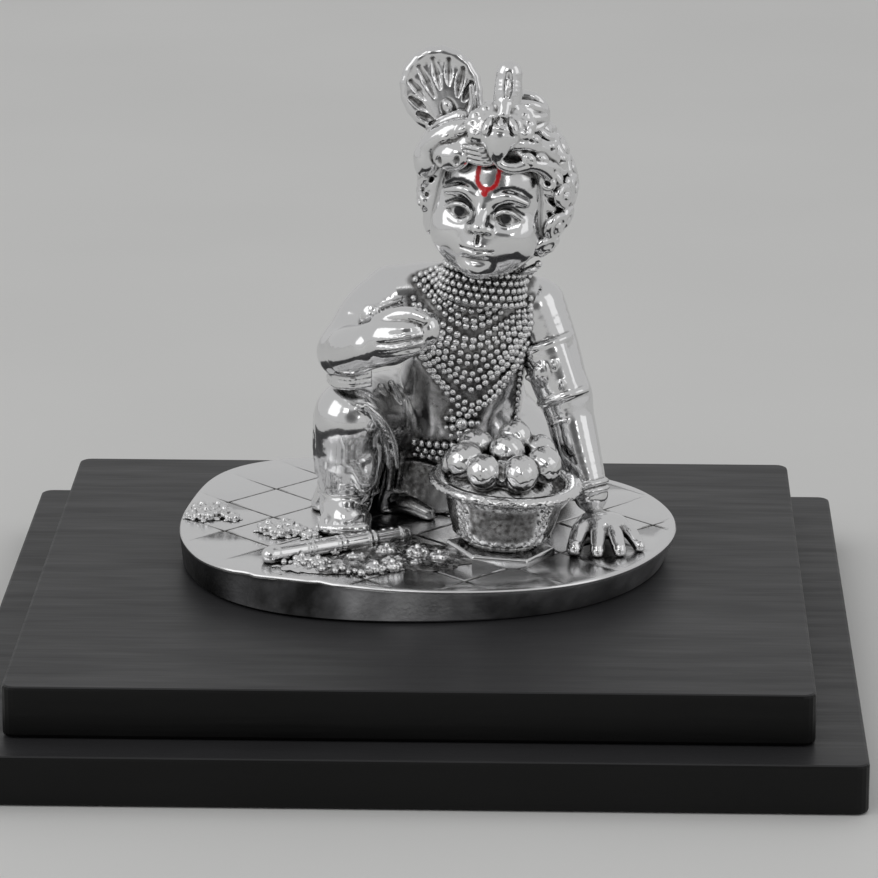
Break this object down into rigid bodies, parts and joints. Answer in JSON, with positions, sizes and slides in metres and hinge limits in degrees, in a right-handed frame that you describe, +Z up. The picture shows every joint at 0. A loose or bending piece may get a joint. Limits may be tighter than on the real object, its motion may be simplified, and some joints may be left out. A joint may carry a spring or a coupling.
{
  "type": "laddu gopal idol",
  "caption": "Small cast silver-finish idol of the crawling child beside a bowl of sweets, on an oval tiled base and a black two-tier plinth.",
  "frame": {"origin": "middle of the plinth's underside", "axes": "+Z up, the figure faces -Y, +X to the viewer's right, along the plinth's longer side"},
  "size_m": [0.178, 0.172, 0.1298],
  "materials": {
    "silver": "polished silver plate with dark oxidised recesses, satin side wall",
    "black_lacquered_wood": "black lacquer, semi-gloss, with a faint brushed grain"
  },
  "bodies": {
    "root": {"idol": "silver", "offering_bowl": "silver", "oval_base": "silver", "plinth_upper_tier": "black_lacquered_wood", "plinth_lower_tier": "black_lacquered_wood"}
  },
  "joints": []
}
